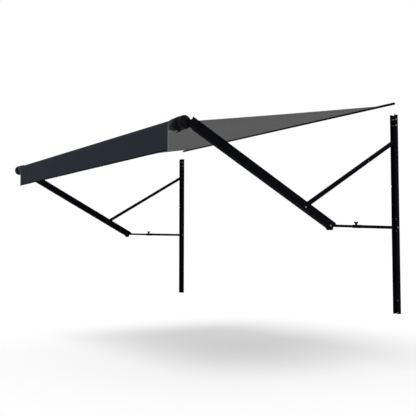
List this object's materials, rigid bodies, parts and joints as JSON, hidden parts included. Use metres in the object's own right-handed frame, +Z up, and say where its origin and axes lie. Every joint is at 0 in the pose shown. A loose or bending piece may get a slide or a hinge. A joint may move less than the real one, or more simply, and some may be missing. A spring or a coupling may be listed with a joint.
{
  "type": "roll-out awning",
  "caption": "Roll-out wall awning, shown open: flat canvas from a wall rail to a sprung roller with a hanging valance, on folding arms with braces and telescoping links.",
  "frame": {"origin": "middle of the awning rail's back face, on the wall", "axes": "+Z up, +Y into the wall, +X along the rail towards the end nearer the camera; the awning stands out towards -Y"},
  "size_m": [3.7256, 2.323, 1.9225],
  "materials": {
    "black_aluminium": "satin",
    "black_steel": "satin",
    "black_plastic": "satin",
    "fastener_steel": "satin",
    "roller_metal": "satin",
    "spring_steel": "satin",
    "pale_nylon": "satin",
    "grey_canvas": "matte",
    "navy_valance": "matte"
  },
  "bodies": {
    "wall_frame": {"awning_rail": "black_aluminium", "canvas": "grey_canvas", "left_wall_channel": "black_aluminium", "left_wall_screw_1": "fastener_steel", "left_wall_screw_2": "fastener_steel", "left_wall_screw_3": "fastener_steel", "left_wall_screw_4": "fastener_steel", "left_top_bracket": "black_steel", "left_top_bolt_1": "fastener_steel", "left_top_bolt_2": "fastener_steel", "left_link_bracket": "black_steel", "left_link_pivot_bolt": "fastener_steel", "left_glide_stop": "black_steel", "right_wall_channel": "black_aluminium", "right_wall_screw_1": "fastener_steel", "right_wall_screw_2": "fastener_steel", "right_wall_screw_3": "fastener_steel", "right_wall_screw_4": "fastener_steel", "right_top_bracket": "black_steel", "right_top_bolt_1": "fastener_steel", "right_top_bolt_2": "fastener_steel", "right_link_bracket": "black_steel", "right_link_pivot_bolt": "fastener_steel", "right_glide_stop": "black_steel"},
    "left_link": {"left_link_outer_tube": "black_steel"},
    "right_link": {"right_link_outer_tube": "black_steel"},
    "left_link_end": {"left_link_inner_tube": "black_steel"},
    "right_link_end": {"right_link_inner_tube": "black_steel"},
    "left_knob": {"left_pitch_knob": "black_plastic"},
    "right_knob": {"right_pitch_knob": "black_plastic"},
    "left_arm_group": {"left_arm": "black_aluminium", "left_brace_pivot_bolt": "fastener_steel", "left_foot_pivot_bolt": "fastener_steel", "left_arm_foot": "black_aluminium", "left_arm_head": "black_aluminium", "left_head_cover": "black_plastic", "left_roller_shaft": "fastener_steel", "left_roller_bush": "pale_nylon"},
    "right_arm_group": {"right_arm": "black_aluminium", "right_brace_pivot_bolt": "fastener_steel", "right_foot_pivot_bolt": "fastener_steel", "right_arm_foot": "black_aluminium", "right_arm_head": "black_aluminium", "right_head_cover": "black_plastic", "right_roller_shaft": "fastener_steel", "right_roller_bush": "pale_nylon"},
    "left_brace_group": {"left_brace": "black_steel", "left_brace_bolt": "fastener_steel", "left_brace_glide": "pale_nylon"},
    "right_brace_group": {"right_brace": "black_steel", "right_brace_bolt": "fastener_steel", "right_brace_glide": "pale_nylon"},
    "roller": {"roller_tube": "roller_metal", "left_roller_end_cap": "black_plastic", "right_roller_end_cap": "black_plastic", "left_torsion_spring": "spring_steel", "right_torsion_spring": "spring_steel", "valance": "navy_valance"},
    "lock_lever": {"roller_lock_lever": "black_plastic"}
  },
  "joints": [
    {"name": "right_link_swing", "type": "hinge", "parent": "wall_frame", "child": "right_link", "pos_m": [1.83, -0.024, -1.138], "axis": [1, 0, 0], "range_deg": [0, 82.65], "deforming": ["canvas"]},
    {"name": "left_link_swing", "type": "hinge", "parent": "wall_frame", "child": "left_link", "pos_m": [-1.83, -0.024, -1.138], "axis": [1, 0, 0], "range_deg": [0, 82.7]},
    {"name": "right_link_slide", "type": "slide", "parent": "right_link", "child": "right_link_end", "axis": [0, -1, 0], "range_m": [-0.0869, 0]},
    {"name": "left_link_slide", "type": "slide", "parent": "left_link", "child": "left_link_end", "axis": [0, -1, 0], "range_m": [-0.0869, 0]},
    {"name": "right_arm_swing", "type": "hinge", "parent": "right_link_end", "child": "right_arm_group", "pos_m": [1.83, -0.861, -1.138], "axis": [1, 0, 0], "range_deg": [-145.2, 0]},
    {"name": "left_arm_swing", "type": "hinge", "parent": "left_link_end", "child": "left_arm_group", "pos_m": [-1.83, -0.861, -1.138], "axis": [1, 0, 0], "range_deg": [-145.2, 0]},
    {"name": "right_brace_swing", "type": "hinge", "parent": "right_arm_group", "child": "right_brace_group", "pos_m": [1.83, -1.13713, -0.99426], "axis": [1, 0, 0], "range_deg": [0, 118.5]},
    {"name": "left_brace_swing", "type": "hinge", "parent": "left_arm_group", "child": "left_brace_group", "pos_m": [-1.83, -1.13713, -0.99426], "axis": [1, 0, 0], "range_deg": [0, 118.5]},
    {"name": "roller_spin", "type": "hinge", "parent": "right_arm_group", "child": "roller", "pos_m": [0, -2.27095, -0.41541], "axis": [1, 0, 0], "range_deg": [0, 2583], "deforming": ["valance"]},
    {"name": "right_knob_turn", "type": "hinge", "parent": "right_link", "child": "right_knob", "pos_m": [1.83, -0.531, -1.138], "axis": [0, 0, 1], "range_deg": [0, 360]},
    {"name": "left_knob_turn", "type": "hinge", "parent": "left_link", "child": "left_knob", "pos_m": [-1.83, -0.531, -1.138], "axis": [0, 0, 1], "range_deg": [0, 360]},
    {"name": "lock_lever_tilt", "type": "hinge", "parent": "right_arm_group", "child": "lock_lever", "pos_m": [1.7402, -2.27095, -0.47341], "axis": [0, -1, 0], "range_deg": [0, 30]}
  ],
  "couplings": [
    {"joint": "left_link_swing", "follows": "right_link_swing", "ratio": 1},
    {"joint": "right_link_slide", "follows": "right_link_swing", "m_per_rad": -0.060174},
    {"joint": "left_link_slide", "follows": "right_link_swing", "m_per_rad": -0.060174},
    {"joint": "right_arm_swing", "follows": "right_link_swing", "ratio": -1.7563},
    {"joint": "left_arm_swing", "follows": "right_link_swing", "ratio": -1.7563},
    {"joint": "right_brace_swing", "follows": "right_link_swing", "ratio": 1.4326},
    {"joint": "left_brace_swing", "follows": "right_link_swing", "ratio": 1.4326},
    {"joint": "roller_spin", "follows": "right_link_swing", "ratio": 31.247}
  ]
}
